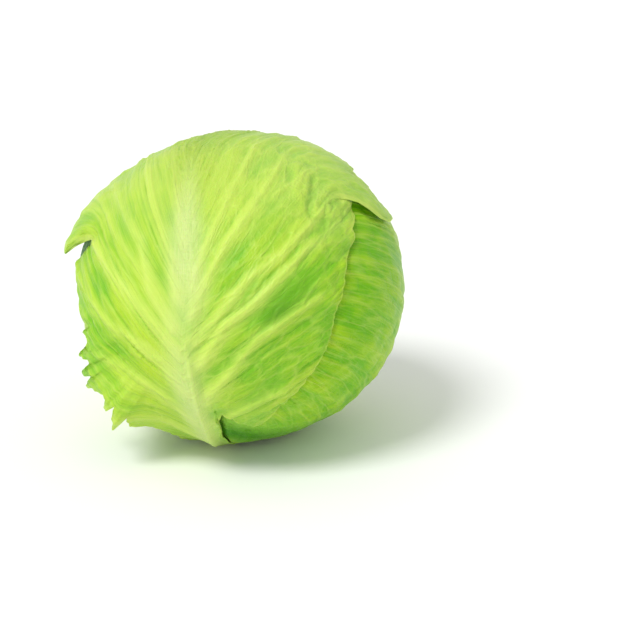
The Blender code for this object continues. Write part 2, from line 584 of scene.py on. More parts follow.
CLIMB: Pairs = (
    (-100, 22), (-66, 28), (-46, 32), (-30, 38), (-14, 43), (-4, 50), (6, 60), (24, 71), (60, 78),
    (100, 83),
)
FRONT_OUTLINE: Pairs = (
    (-90, 96), (-98, 92), (-103, 78), (-107, 67), (-112, 61), (-117, 56), (-120, 56), (-122, 54),
    (-123.8, 48), (-126, 57.5), (-128.2, 51), (-130.4, 45.5), (-133, 55), (-135.2, 48),
    (-137.5, 48.5), (-140.8, 53), (-144.2, 62), (-146.3, 50.5), (-149, 61), (-151.3, 49),
    (-153, 49.5), (-155.5, 59.5), (-158.5, 49.5), (-161.5, 49), (-164.2, 53), (-166.5, 48.5),
    (-170.7, 53), (-176.3, 59), (-181.8, 63), (-187.6, 69.5), (-191, 66), (-196, 62), (-203.4, 56),
    (-204.6, 64), (-205.6, 70), (-208.5, 73), (-212, 78), (-220, 85), (-235, 96), (-255, 108),
    (-270, 112), (-290, 109), (-300, 101), (-302, 92), (-304.5, 96), (-307, 90), (-310, 94.5),
    (-313.6, 95), (-316.4, 80), (-318.5, 77.5), (-321, 75.5), (-325.3, 73.3), (-328.5, 67.4),
    (-331.7, 66.1), (-334.6, 62), (-338.5, 57.5), (-345, 54), (-355, 50.5), (-370, 48),
    (-385, 46.5), (-400, 46), (-410.2, 46), (-418.8, 48.3), (-423.8, 50), (-427, 49), (-431.8, 44),
    (-434.5, 40.5), (-438, 39), (-441, 42), (-444.5, 56), (-447.5, 86),
)
FRONT_LIFT: Pairs = (
    (-90, 0), (-100, 0.3), (-106, 1.5), (-112, 3), (-117, 6), (-121, 9), (-123.8, 13), (-126, 16),
    (-130.4, 14), (-133, 12), (-140, 10.8), (-148, 10.5), (-154, 7.5), (-160, 4.5), (-167, 1.8),
    (-174, 0.2), (-198, 0.2), (-205, 0.4), (-208.5, 2.2), (-214, 1.6), (-222, 0), (-306, 0),
    (-314, 0.8), (-320, 0.4), (-395, 0.3), (-412, 1.4), (-428, 1.6), (-438, 0.6), (-446, 0),
)
FRONT_CLEFTS = (
    Cleft(-204, 56, 1.2, swing=16, span=-26, lift=6, swing_curve=1.7, lift_curve=0.8),
    Cleft(-316.2, 71, 2.4, swing=-19, span=34, lift=2.6, swing_curve=1.1),
)
# Lighter and darker patches of the front leaf's colour, most of them painted light: painted sheen
# towards the top, and painted shade in the valleys beside the veins, on the keel's right flank and
# over the right side.
FRONT_TONES_AND_PAINTED_LIGHT = tuple(Patch(*row) for row in (
    (-33, 31, -50, 14, 4, -0.7), (-42, 8, -36, 8, 3.5, -0.9), (-37, 22, -26, 4, 2.5, -0.6),
    (-17, 3, -55, 9, 3, -0.5), (12, 22, 60, 8, 3.5, -0.6), (17, 7, 48, 11, 3, -0.6),
    (27, 2, 31, 9, 4, -1), (35, 12, 25, 15, 5, -0.8), (51, 35, -66, 12, 6, -0.6),
    (-47, -29, -112, 14, 5, -0.7), (38, -2, 60, 44, 24, -0.36), (-2, 54, 90, 14, 18, 0.6),
    (9, 49, 95, 14, 6, 0.3), (-19, 55, -78, 22, 10, 0.3), (32, 30, 70, 10, 5, 0.5),
    (-32, -20, 110, 38, 22, 0.45), (3.8, 46, 90, 12, 9, 0.8), (-30, 29, -58, 13, 4, -0.3),
    (-37, 15, -50, 10, 7, -0.2), (19, -32, 30, 12, 7, -0.5), (-1.7, -4, 90, 5, 4, -0.6),
    (5.5, -46, -90, 16, 3, -0.9),
))
BROAD_OUTLINE: Pairs = (
    (-90, 90), (-104, 86), (-116, 77), (-135, 78), (-155, 83), (-180, 87), (-225, 93), (-270, 98),
    (-315, 92), (-360, 88), (-385, 83), (-405, 77), (-424, 77), (-436, 86),
)
SIDE_OUTLINE: Pairs = (
    (-90, 92), (-96, 122), (-104, 136), (-122, 136), (-138, 126), (-157, 104), (-180, 97),
    (-225, 96), (-270, 98), (-315, 92), (-360, 88), (-385, 83), (-405, 78), (-424, 79), (-436, 86),
)
SIDE_LIFT: Pairs = ((-90, 0), (-108, 0.8), (-122, 0), (-140, -1.4), (-160, 0), (-435, 0))
# Painted shade on the side leaf: a strong patch under the front leaf's lower lobe and a faint
# darkening over its right side.
SIDE_PAINTED_SHADE = (Patch(-66, -90, 45, 34, 22, -1.9), Patch(-52, 14, 90, 50, 34, -0.22))
# Painted shade on the leaf seen in the gap under the front leaf's left flap.
LEFT_PAINTED_SHADE = (Patch(13.7, 18.6, 0, 14, 14, -2.2),)
FRONT_CRUMPLES = (Patch(40, 49, -57, 15, 11, 1.5),)
# Paler towards the stem in the leaf's own colour, and paler towards the top as a painted sheen.
FRONT_PALENESS_AND_SHEEN: Pairs = ((-100, 0.7), (-60, 0.4), (-20, 0.1), (20, 0.1), (45, 0.45), (80, 0.55))
INNER_BLEACH: Pairs = ((-100, 0.8), (-60, 0.45), (-20, 0.1), (100, 0))
FRONT_MIDRIB = Midrib(
    path=(
        (-5, -98), (-3.2, -66), (-1.8, -50), (-1.8, -42), (-2.3, -29), (-3, -21), (-3.6, -12),
        (-2.6, -2), (-1.7, 9), (-3.5, 19), (-5, 29), (-7.6, 41), (-11, 54), (-18, 72),
    ),
    height=0.0034,
    height_along=(
        (-98, 0.15), (-74, 0.6), (-60, 0.9), (-34, 0.9), (-12, 0.5), (25, 0.22), (62, 0),
    ),
    crest=0.5,
    paleness=(
        (-98, 0.7), (-40, 0.8), (-24, 0.75), (-8, 0.4), (4, 0.6), (16, 0.95), (34, 0.9), (50, 0.4),
        (66, 0),
    ),
)
FRONT_VEINS = (
    Vein(((-1.9, -8), (-0.6, -16), (0.2, -28), (0.8, -45), (-0.5, -66)), 0.8, 1.2, 0.5, 1.1),
    Vein(((2, -46), (14, -36), (27, -29), (42, -24)), 1.6, 0.9, 0.6, 0.3),
    Vein(((3, -32), (12.5, -19), (21.8, -6.2), (29.4, -0.7), (43, 8)), 1.8, 1, 0.9, 0.4),
    Vein(((3, -16), (11.3, -1.7), (20, 5.6), (25.7, 11.8), (34.9, 22.5), (43.4, 29.8), (52, 38)),
         1.9, 0.9, 1, 0.5),
    Vein(((2, -8), (9.7, 1.6), (18, 13.8), (28.4, 22.2), (38, 34), (47, 47)), 1.6, 0.9, 0.9, 0.5),
    Vein(((1, 2), (5.7, 16.2), (13.2, 31.1), (20.2, 47.6), (24.9, 61.7), (29, 78)), 1.8, 0.9, 1,
         0.4),
    Vein(((13.2, 31.1), (22, 43), (33, 55), (42, 68)), 1, 0.7, 0.6, 0.3),
    Vein(((0, 10), (3.2, 23.7), (7.1, 39.2), (10.1, 54), (11.4, 64.8), (12, 80)), 1.7, 0.9, 0.9,
         0.4),
    Vein(((-3, -60), (-16, -47), (-32, -39), (-50, -35)), 1.8, 1, 0.7, 0.4),
    Vein(((-3, -44), (-13, -31), (-27, -23), (-42, -19), (-58, -17)), 1.8, 1, 0.8, 0.4),
    Vein(((-3, -28), (-10.9, -16.5), (-22.8, -10), (-32.2, -7), (-43.5, -0.7), (-58, 7)), 1.9, 1,
         0.9, 0.4),
    Vein(((-4, -14), (-11.6, -5), (-25.2, 7.1), (-46.1, 20.5), (-66, 26.5)), 2.1, 1.2, 1, 0.8),
    Vein(((-8, -2), (-17, 12), (-32, 24), (-47, 34), (-62, 41)), 1.4, 0.8, 0.7, 0.3),
    Vein(((-6, -4), (-14.7, 7.7), (-22.7, 24.9), (-39.4, 38.6), (-54, 50)), 1.8, 0.9, 1, 0.5),
    Vein(((-5, 6), (-8.2, 18.7), (-16.1, 32.2), (-28.4, 49), (-41.2, 62.2), (-52, 72)), 1.8, 0.9,
         1, 0.5),
    Vein(((-6, 24), (-10, 38), (-18, 54), (-30, 72)), 1.4, 0.8, 0.8, 0.4),
)


@dataclass
class SheetPlaces:
    """Where the places of a leaf's sheet lie on the leaf, in degrees, and in space."""

    angle: Array
    arc: Array
    outline: Array
    across: Array
    along: Array
    inside: Array
    raised: Array
    ways: Array


class Leaf:
    """Builds one leaf's sheet and gives it the marks that its finish reads.

    Spans and widths are in degrees of the leaf, heights and thicknesses in metres. Swells,
    crinkles, creases and ruffles are a height, a width and the level where the noise is read.
    """

    NUMBER = "number"
    INNER = "inner"
    CORNER_TURN = 36.0
    EVEN_SPAN = 7.0
    BROAD_SPAN = 32.0
    EVEN_CURVE = 3.0
    TOOTH_CURVE = 6.0
    LEAST_STRETCH = 8.0
    LEAST_DENT = 0.001
    # Size, count round the edge, shift and level of the edge's waves, teeth and nicks.
    EDGE_LAYERS = ((1.5, 5.0, 9.0, 0.0), (1.3, 17.0, 0.0, 0.5), (0.7, 47.0, 0.0, 0.7))
    PLAIN_BASE = (14.0, 26.0)
    CLEFT_CURVE = 3.5
    CLEFT_SPREAD = 22.0
    FOLD_ROOM = 4.0
    UNDER_SPAN = 0.5
    EASINGS = 3
    EASED_SPAN = (1.5, 6.0)
    SHARP_FOLD = math.radians(50.0)
    COVER_SPAN = (-2.0, 5.0)
    COVER_RISE = 0.0019
    COVERED_RELIEF = 0.3
    EDGE_SPAN = 6.0
    EDGE_DIP = 0.0009
    EDGE_THICKNESS = 0.15
    THICK_FROM = 9.0
    RIB_THICKNESS = 0.7
    LIFT_START = 0.58
    LIFT_CURVE = 1.4
    STEM_SPAN = 22.0
    RIB_AT_STEM = 0.3
    FIRST_FIBRE = -150.0
    LAST_FIBRE = 130.0
    HALVINGS = 20
    FIBRE_SLANT = 0.6
    # Size, width, length and level of the ridges' wandering, then the width, length, level and
    # bluntness of the broad and the fine ridges.
    WANDER = (1.2, 9.0, 12.0, 2.0)
    RIDGES = ((3.6, 34.0, 0.0, 0.7), (1.4, 20.0, 5.0, 0.8))
    RIDGE_HEIGHTS = (0.0009, 0.00045)
    RIDGE_SHARES = (0.75, 0.35, 0.3)
    RIB_SMOOTHING = (0.75, 1.2)
    VEIN_HEIGHT = 0.0014
    GROUND = -0.0009
    SOFT_SPREAD = 2.0
    SEED_STEP = 3.7
    CRUMPLED_FROM = 5.0
    CRUMPLED_SPAN = (28.0, 75.0)
    LEAST_CRUMPLE = 0.25
    SWELLS = (0.0004, 15.0, 9.0)
    CRINKLES = (0.0003, 4.0, 13.0)
    CREASES = (0.0010, 7.0, 17.0)
    CREASE_LEVEL = 0.4
    CREASE_CURVE = 0.7
    CRUMPLE_HEIGHT = 0.0015
    RUFFLES = ((1.0, 6.0, 31.0), (0.6, 2.6, 37.0))
    RUFFLE_SPAN = 14.0
    RUFFLE_SHIFT = 0.2
    RUFFLE_CURVE = 1.5

    def __init__(self, plan: LeafPlan) -> None:
        """Keep the plan and its map."""
        self.plan = plan
        self.map = LeafMap(plan)

    def _sheet(self) -> bpy.types.Mesh:
        """Make the flat square sheet that becomes the leaf, with an outer and an inner skin.

        Returns:
            A mesh whose points carry the number of their place, and 1 on the inner skin.
        """
        shape = bmesh.new()
        cells = self.plan.cells
        bmesh.ops.create_grid(shape, x_segments=cells, y_segments=cells, size=1.0)
        number = shape.verts.layers.int.new(self.NUMBER)
        inner = shape.verts.layers.int.new(self.INNER)
        for index, vertex in enumerate(shape.verts):
            vertex[number] = index
        for edge in shape.edges:
            edge.smooth = not edge.is_boundary
        bmesh.ops.triangulate(shape, faces=shape.faces[:], quad_method="FIXED")
        made = bmesh.ops.extrude_face_region(shape, geom=shape.faces[:], use_keep_orig=True)
        for item in made["geom"]:
            if isinstance(item, bmesh.types.BMVert):
                item[inner] = 1
                item.co.z = -1.0
        bmesh.ops.recalc_face_normals(shape, faces=shape.faces)
        for face in shape.faces:
            face.smooth = True
        return turned_into_mesh(shape, self.plan.node + "_blade")

    def _numbers(self, mesh: bpy.types.Mesh, name: str) -> Array:
        """Take one of the sheet's whole numbers off the mesh.

        Args:
            mesh: the sheet.
            name: the number's name.

        Returns:
            Its value at each point.
        """
        values = np.zeros(len(mesh.vertices), dtype=np.int32)
        mesh.attributes[name].data.foreach_get("value", values)
        mesh.attributes.remove(mesh.attributes[name])
        return values

    def _toothed(self, angle: Array) -> Array:
        """Add small teeth and waves to the outline.

        Args:
            angle: angles round the leaf's middle.

        Returns:
            How far the toothed edge runs at each angle, without the clefts.
        """
        ring_x, ring_y = np.cos(np.radians(angle)), np.sin(np.radians(angle))
        waves, teeth, nicks = (
            size * EDGE_NOISE.at(
                ring_x * count + shift, ring_y * count + shift, self.plan.seed + level)
            for size, count, shift, level in self.EDGE_LAYERS)
        held = smooth_step(np.abs(turn_from(-90.0, angle)), *self.PLAIN_BASE)
        detail = self.plan.teeth * held * (waves + np.abs(teeth) + nicks)
        return np.minimum(self.map.reach(angle) + detail, self.map.stem_reach(angle))

    def _pull(self, angle: Array, share: Array, toothed: Array) -> Array:
        """Give how far the clefts draw each place inward, in degrees.

        Args:
            angle: the angle round the leaf's middle.
            share: how far out each place is, from 0 to 1 on the edge.
            toothed: how far the edge runs without the clefts.

        Returns:
            The distances, which spread wider and weaker away from the edge.
        """
        pull = np.zeros(len(angle))
        for cleft in self.plan.clefts:
            off = np.abs(turn_from(cleft.angle, angle))
            width = cleft.half_width + self.CLEFT_SPREAD * (1.0 - share)
            cut = np.maximum(toothed - cleft.apex, 0.0) * (1.0 - np.minimum(off / width, 1.0))
            pull = np.maximum(pull, cut)
        return pull * share ** self.CLEFT_CURVE

    def _fold(self, angle: Array, arc: Array, outline: Array) -> tuple[Array, Array]:
        """Fold one side of each cleft over the other.

        Args:
            angle: the angle round the leaf's middle.
            arc: how far out each place is.
            outline: how far out the plain edge is.

        Returns:
            The turned angles, and how far each place is raised in metres.
        """
        turned = angle.copy()
        raised = np.zeros(len(angle))
        near_apex = np.zeros(len(angle))
        for cleft in self.plan.clefts:
            share = turn_from(cleft.angle, angle) / cleft.span
            room = np.maximum(outline - cleft.apex, self.FOLD_ROOM)
            out = np.clip((arc - cleft.apex) / room, 0.0, 1.0)
            folded = np.where(share >= 0.0, 1.0 - smooth_step(share, 0.0, 1.0), 0.0)
            under = np.where(share < 0.0, 1.0 - smooth_step(-share, 0.0, self.UNDER_SPAN), 0.0)
            turned += cleft.swing * folded * out ** cleft.swing_curve
            raised += MM * cleft.lift * folded * out ** cleft.lift_curve
            raised -= self.EDGE_DIP * under * out ** cleft.lift_curve
            close = 1.0 - smooth_step(arc - cleft.apex, *self.EASED_SPAN)
            near_apex = np.maximum(near_apex, close)
        swing = turned - angle
        swing += (self._eased(swing) - swing) * near_apex
        raised += (self._eased(raised) - raised) * near_apex
        return angle + swing, raised

    def _eased(self, values: Array) -> Array:
        """Blur values a little over the sheet's grid, so that folds are round.

        Args:
            values: one value for each place.

        Returns:
            The blurred values.
        """
        side = self.plan.cells + 1
        grid = values.reshape(side, side)
        for _ in range(self.EASINGS):
            wide = np.pad(grid, 1, mode="edge")
            beside = wide[:-2, 1:-1] + wide[2:, 1:-1] + wide[1:-1, :-2] + wide[1:-1, 2:]
            grid = 0.5 * grid + 0.125 * beside
        return grid.ravel()

    def _from_edge(self, angle: Array, arc: Array, edge: Array) -> Array:
        """Measure how far each place is from the leaf's edge and its clefts.

        Args:
            angle: the angle round the leaf's middle.
            arc: how far out each place is.
            edge: how far out the edge is there.

        Returns:
            The distances, in degrees.
        """
        inside = edge - arc
        for cleft in self.plan.clefts:
            off = np.abs(turn_from(cleft.angle, angle)) - cleft.half_width
            beside = np.radians(np.maximum(off, 0.0)) * arc
            inside = np.minimum(inside, np.hypot(beside, np.maximum(cleft.apex - arc, 0.0)))
        return inside

    def _spread(self, flat: Array) -> SheetPlaces:
        """Spread the flat sheet over the leaf, cut its clefts and fold its flaps.

        The middle follows a broad outline, and the small teeth only shape the rim.

        Args:
            flat: the square sheet's places, one a row.

        Returns:
            Where they lie.
        """
        u, v = flat.T
        disc_x = u * np.sqrt(1.0 - 0.5 * v * v)
        disc_y = v * np.sqrt(1.0 - 0.5 * u * u)
        share = np.hypot(disc_x, disc_y)
        angle = np.degrees(np.arctan2(disc_y, disc_x)) + self.CORNER_TURN
        outline = self.map.even_reach(angle, self.EVEN_SPAN)
        broad = self.map.even_reach(angle, self.BROAD_SPAN)
        toothed = self._toothed(angle)
        edge = toothed - self._pull(angle, np.ones(len(angle)), toothed)
        stretch = broad + self.EVEN_CURVE * (outline - broad)
        stretch -= self.CLEFT_CURVE * (toothed - edge) + self.LEAST_STRETCH
        dent = np.maximum(outline - toothed, self.LEAST_DENT)
        arc = share * broad + (outline - broad) * share ** self.EVEN_CURVE
        arc += (toothed - outline) * share ** np.clip(stretch / dent, 1.0, self.TOOTH_CURVE)
        arc -= self._pull(angle, share, toothed)
        turned, raised = self._fold(angle, arc, outline)
        return SheetPlaces(
            angle, arc, outline, *along_axes(arc, angle), self._from_edge(angle, arc, edge),
            raised, self.map.ways(*along_axes(arc, turned)))

    def _uncovered(self, ways: Array) -> tuple[Array, Array]:
        """Find where the leaves above this one end.

        Args:
            ways: unit directions from the head's centre, one a row.

        Returns:
            How far the leaf rises there, and how bare it is, from 0 to 1.
        """
        rise = np.zeros(len(ways))
        bare = np.ones(len(ways))
        for other in self.plan.covered_by:
            free = smooth_step(LeafMap(other).past_edge(ways), *self.COVER_SPAN)
            rise += self.COVER_RISE * free
            bare *= free
        return rise, bare

    def _midrib(self, across: Array, along: Array) -> tuple[Array, Array, Array]:
        """Shape the midrib, whose crest stands a little to its right.

        Args:
            across: places across the leaf.
            along: places along it.

        Returns:
            The midrib's height, its mask and how far places are from its middle line.
        """
        rib = self.plan.midrib
        off = across - read_pairs(tuple(place[::-1] for place in rib.path), along)
        width = read_pairs(rib.width_along, along)
        crest = rib.crest * width
        left, right = width * rib.left_foot, width * rib.right_foot
        tent = np.minimum(
            np.clip((off + left) / (left + crest), 0.0, 1.0),
            np.clip((right - off) / (right - crest), 0.0, 1.0))
        shape = (1.0 - rib.roundness) * tent + rib.roundness * smooth_step(tent, 0.0, 1.0)
        mask = np.exp(-np.abs(off / (width * rib.pale_width)) ** rib.pale_curve)
        tall = rib.height * read_pairs(rib.height_along, along)
        return tall * shape, mask * read_pairs(rib.paleness, along), off

    def _fibres(self, off: Array, along: Array) -> tuple[Array, Array]:
        """Find the fibre that each place is on.

        Args:
            off: how far places are from the midrib's middle line.
            along: places along the leaf.

        Returns:
            Where the fibre leaves the midrib, and how far out on it the place is.
        """
        low = np.full(len(off), self.FIRST_FIBRE)
        high = np.full(len(off), self.LAST_FIBRE)
        for _ in range(self.HALVINGS):
            middle = 0.5 * (low + high)
            climb = np.tan(np.radians(read_pairs(CLIMB, middle)))
            past = middle + climb * np.abs(off) > along
            high = np.where(past, middle, high)
            low = np.where(past, low, middle)
        return 0.5 * (low + high), off + self.FIBRE_SLANT * along

    def _ribbing(self, fibre: Array, run: Array) -> tuple[Array, Array]:
        """Give the ridges that run along the fibres.

        Args:
            fibre: where each place's fibre leaves the midrib.
            run: how far out on it the place is.

        Returns:
            The broad and the fine ridges, from 0 to about 1.
        """
        seed = self.plan.seed * self.SEED_STEP
        size, wide, long, level = self.WANDER
        wandering = fibre + size * BLADE_NOISE.at(fibre / wide, run / long, seed + level)
        broad, fine = (
            np.abs(BLADE_NOISE.at(wandering / wide, run / long, seed + level)) ** blunt
            for wide, long, level, blunt in self.RIDGES)
        return broad, fine

    def _crumple(self, across: Array, along: Array) -> Array:
        """Shape the blade's crinkles.

        Args:
            across: places across the leaf.
            along: places along it.

        Returns:
            Their height.
        """
        (swell, wide, wide_level), (crinkle, small, small_level), (crease, mid, mid_level) = (
            self.SWELLS, self.CRINKLES, self.CREASES)
        seed = self.plan.seed * self.SEED_STEP
        outer = smooth_step(np.hypot(across, along - self.CRUMPLED_FROM), *self.CRUMPLED_SPAN)
        strength = self.LEAST_CRUMPLE + self.plan.crumpling * outer
        strength += sum(patch.cover(across, along) for patch in self.plan.crumples)
        swells = BLADE_NOISE.layered(across / wide, along / wide, seed + wide_level)
        crinkles = BLADE_NOISE.layered(across / small, along / small, seed + small_level)
        creases = np.abs(BLADE_NOISE.at(across / mid, along / mid, seed + mid_level))
        creases = creases ** self.CREASE_CURVE - self.CREASE_LEVEL
        sharp = crinkle * crinkles + crease * creases
        return swell * swells + strength * sharp

    def _waves(self, places: SheetPlaces) -> Array:
        """Ruffle the edge.

        Args:
            places: where the sheet's places lie.

        Returns:
            The ruffles' heights beside the plan's, which fade inward.
        """
        wave = sum(
            size * EDGE_NOISE.at(places.across / wide, places.along / wide, self.plan.seed + level)
            for size, wide, level in self.RUFFLES)
        curl = 1.0 - smooth_step(places.inside, 0.0, self.RUFFLE_SPAN)
        return curl ** self.RUFFLE_CURVE * np.maximum(wave + self.RUFFLE_SHIFT, -self.RUFFLE_SHIFT)

    def build(self) -> bpy.types.Object:
        """Make the leaf's object, with its marks and its thickness."""
        plan = self.plan
        mesh = self._sheet()
        corners = np.zeros(len(mesh.vertices) * 3)
        mesh.vertices.foreach_get("co", corners)
        spot = self._numbers(mesh, self.NUMBER)
        inner = self._numbers(mesh, self.INNER)
        flat = np.zeros((int(spot.max()) + 1, 2))
        flat[spot] = corners.reshape(-1, 3)[:, :2]
        places = self._spread(flat)
        across, along, inside = places.across, places.along, places.inside

        rib_height, rib_mask, rib_off = self._midrib(across, along)
        fibre, run = self._fibres(rib_off, along)
        broad, fine = self._ribbing(fibre, run)
        crumple = self._crumple(across, along)
        field = VeinField(plan.veins)
        veins = field.read(across, along)
        rise, bare = self._uncovered(places.ways)
        freedom = self.COVERED_RELIEF + (1.0 - self.COVERED_RELIEF) * bare
        smoothing, reach = self.RIB_SMOOTHING
        flesh = 1.0 - smoothing * np.clip(rib_mask * reach, 0.0, 1.0)
        ribbing = (self.RIDGE_HEIGHTS[0] * broad + self.RIDGE_HEIGHTS[1] * fine) * flesh
        relief = plan.relief * (
            ribbing + self.VEIN_HEIGHT * veins * flesh + crumple * flesh + self.GROUND)
        to_stem = smooth_step(self.map.stem_reach(places.angle) - places.arc, 0.0, self.STEM_SPAN)
        relief = relief * to_stem
        relief += rib_height * (self.RIB_AT_STEM + (1.0 - self.RIB_AT_STEM) * to_stem)
        near_edge = 1.0 - smooth_step(inside, 0.0, self.EDGE_SPAN)
        dip = self.EDGE_DIP * near_edge * (1.0 - 0.5 * bare)
        lift = relief * freedom - dip + places.raised
        lift += plan.ruffle * freedom * to_stem * self._waves(places)
        if plan.lift:
            start = smooth_step(places.arc / places.outline, self.LIFT_START, 1.0)
            height = read_pairs(plan.lift, places.angle, period=360.0)
            lift += MM * height * start ** self.LIFT_CURVE
        blade = smooth_step(inside, 0.0, self.THICK_FROM)
        blade = self.EDGE_THICKNESS + (1.0 - self.EDGE_THICKNESS) * blade
        thickness = plan.blade * blade + self.RIB_THICKNESS * rib_height
        skin = (plan.depth - rise - lift)[spot] + inner * thickness[spot]
        points = HEAD.place(places.ways[spot], skin, HEAD.floor_gap + plan.depth)
        mesh.vertices.foreach_set("co", points.ravel())
        mesh.set_sharp_from_angle(angle=self.SHARP_FOLD)

        # The ridge mark follows the relief's height; the finish paints its tops lighter and its
        # valleys darker as painted shade.
        shares = self.RIDGE_SHARES
        ridge = shares[0] * broad + shares[1] * fine + shares[2] * veins
        ridge += crumple / self.CRUMPLE_HEIGHT
        nothing = np.zeros(len(across))
        marks = {
            "vein": field.read(across, along, self.SOFT_SPREAD),
            "midrib": rib_mask,
            "ridge": np.clip(ridge, 0.0, 1.0),
            "pale": read_pairs(plan.paleness_and_sheen, along),
            "tone_and_painted_light": sum((patch.cover(across, along) for patch in plan.tones_and_painted_light), nothing),
            "rumpled": self.LEAST_CRUMPLE + sum(
                (patch.cover(across, along) for patch in plan.crumples), nothing),
            "inside": inside * DEGREE_SIZE / MM,
        }
        for name, values in marks.items():
            layer = mesh.attributes.new(name, "FLOAT", "POINT")
            layer.data.foreach_set("value", values[spot].astype(np.float32))
        self._lay_out(mesh, "place", across[spot] * DEGREE_SIZE, along[spot] * DEGREE_SIZE)
        self._lay_out(mesh, "fan", fibre[spot], run[spot])
        self._lay_out(mesh, "rib_fan", rib_off[spot], along[spot])
        return add_object(plan.node + "_blade", mesh)

    def _lay_out(self, mesh: bpy.types.Mesh, name: str, across: Array, along: Array) -> None:
        """Store a flat layout of the leaf as a UV map.

        Args:
            mesh: the leaf.
            name: the map's name.
            across: each point's first coordinate.
            along: its second coordinate.
        """
        layer = mesh.uv_layers.new(name=name)
        corners = np.zeros(len(mesh.loops), dtype=np.int32)
        mesh.loops.foreach_get("vertex_index", corners)
        layer.data.foreach_set("uv", np.column_stack((across, along))[corners].ravel())


def operator(operation: str, reflected: bool = False) -> Callable[..., "Wire"]:
    """Make one of a Wire's operators.

    Args:
        operation: the Math node's operation.
        reflected: whether the other value comes first.

    Returns:
        The method, which adds the node.
    """
    def apply(wire: "Wire", other: "Wire | float") -> "Wire":
        """Add the Math node."""
        return wire.graph.maths(operation, *((other, wire) if reflected else (wire, other)))
    return apply


class Wire:
    """A node's output that can be used in sums."""

    def __init__(self, graph: "Graph", socket: bpy.types.NodeSocket) -> None:
        """Keep the socket and the graph that it is in."""
        self.graph = graph
        self.socket = socket

    __add__ = __radd__ = operator("ADD")
    __mul__ = __rmul__ = operator("MULTIPLY")
    __sub__ = operator("SUBTRACT")
    __rsub__ = operator("SUBTRACT", reflected=True)

    def swing(self, size: "Wire | float") -> "Wire":
        """Turn values round 0.5 into a swing round 0 of that size."""
        return (self - 0.5) * size


class Graph:
    """One material's nodes, made by short calls."""

    def __init__(self, name: str) -> None:
        """Start a material with only its output node."""
        self.material = bpy.data.materials.new(name)
        self.material.use_nodes = True
        self.tree = self.material.node_tree
        self.tree.nodes.clear()

    def node(self, kind: str, settings: dict, sockets: dict) -> bpy.types.Node:
        """Add a node.

        Args:
            kind: the node's type.
            settings: its options, set first.
            sockets: a value or a Wire for each input, by name or number.

        Returns:
            The node.
        """
        made = self.tree.nodes.new(kind)
        for key, value in settings.items():
            setattr(made, key, value)
        for key, value in sockets.items():
            if isinstance(value, Wire):
                self.tree.links.new(value.socket, made.inputs[key])
            else:
                made.inputs[key].default_value = value
        return made

    def wire(self, kind: str, output: str | int, settings: dict, sockets: dict) -> Wire:
        """Add a node and give one of its outputs."""
        return Wire(self, self.node(kind, settings, sockets).outputs[output])

    def maths(self, operation: str, first: Wire | float, second: Wire | float) -> Wire:
        """Add a Math node."""
        return self.wire("ShaderNodeMath", 0, {"operation": operation}, {0: first, 1: second})

    def vector(self, operation: str, first: Wire, second: Wire | tuple) -> Wire:
        """Add a Vector Math node."""
        sockets = {0: first, 1: second}
        return self.wire("ShaderNodeVectorMath", 0, {"operation": operation}, sockets)

    def clamp(self, value: Wire) -> Wire:
        """Hold a value between 0 and 1."""
        return self.wire("ShaderNodeClamp", 0, {}, {"Value": value, "Min": 0.0, "Max": 1.0})

    def mix(self, factor: Wire, first: Wire | tuple, second: Wire | tuple) -> Wire:
        """Blend two colours."""
        settings = {"data_type": "RGBA", "clamp_factor": True}
        return self.wire("ShaderNodeMix", 2, settings, {0: factor, 6: first, 7: second})

    def mark(self, name: str) -> Wire:
        """Read one of the numbers stored on a leaf."""
        return self.wire("ShaderNodeAttribute", "Fac", {"attribute_name": name}, {})

    def position(self) -> Wire:
        """Read the place in the object."""
        return self.wire("ShaderNodeTexCoord", "Object", {}, {})

    def layout(self, name: str, stretch: Triple) -> Wire:
        """Read a flat layout, scaled along each axis."""
        place = self.wire("ShaderNodeUVMap", 0, {"uv_map": name}, {})
        return self.vector("MULTIPLY", place, stretch)

    def noise(self, where: Wire, scale: float, detail: float, roughness: float = 0.5) -> Wire:
        """Add smooth noise round 0.5."""
        sockets = {"Vector": where, "Scale": scale, "Detail": detail, "Roughness": roughness}
        return self.wire("ShaderNodeTexNoise", "Fac", {}, sockets)

    def bump(self, strength: float, distance: float, height: Wire) -> Wire:
        """Turn a height into small relief in the light."""
        sockets = {"Strength": strength, "Distance": distance, "Height": height}
        return self.wire("ShaderNodeBump", 0, {}, sockets)

    def finish(self, skin: Wire | tuple, rough: Wire,
               **others: Wire | tuple | float) -> bpy.types.Material:
        """Add the Principled shader and the output.

        Args:
            skin: the colour.
            rough: the roughness.
            others: the shader's other inputs, with _ for a space.

        Returns:
            The finished material.
        """
        sockets = {name.replace("_", " "): value for name, value in others.items()}
        sockets |= {"Base Color": skin, "Roughness": rough}
        surface = self.wire("ShaderNodeBsdfPrincipled", 0, {}, sockets)
        self.node("ShaderNodeOutputMaterial", {}, {"Surface": surface})
        return self.material


def colour(red: float, green: float, blue: float) -> tuple[float, float, float, float]:
    """Turn a colour in screen values from 0 to 255 into a shader colour."""
    steps = [(value / 255.0 + 0.055) / 1.055 for value in (red, green, blue)]
    return (*[step ** 2.4 for step in steps], 1.0)


